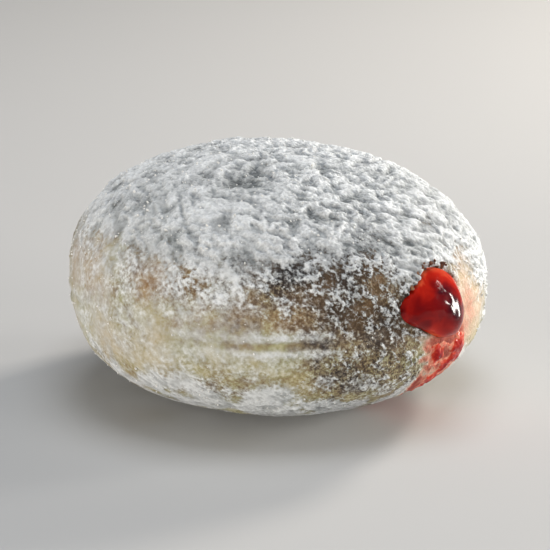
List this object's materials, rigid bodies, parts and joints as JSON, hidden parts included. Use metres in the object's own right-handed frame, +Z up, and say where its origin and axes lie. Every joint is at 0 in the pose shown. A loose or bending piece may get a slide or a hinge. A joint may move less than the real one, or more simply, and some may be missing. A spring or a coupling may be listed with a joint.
{
  "type": "jelly filled doughnut",
  "caption": "Round filled doughnut of fried dough dusted with icing sugar, with red jelly swelling out of the filling hole in its side.",
  "frame": {"origin": "centre of the base of the bounding box, on the flat foot the doughnut rests on", "axes": "+Z up through the crown, +X towards the right of the front view along the width, -Y out of the front; the filling hole faces between +X and -Y"},
  "size_m": [0.088, 0.085, 0.0503],
  "materials": {
    "fried_dough": "fried yeast dough crust, matte",
    "jelly": "wet red fruit jelly, glossy",
    "icing_sugar": "caked and powdered icing sugar, matte"
  },
  "bodies": {
    "root": {"dough": "fried_dough", "jelly": "jelly"}
  },
  "joints": []
}
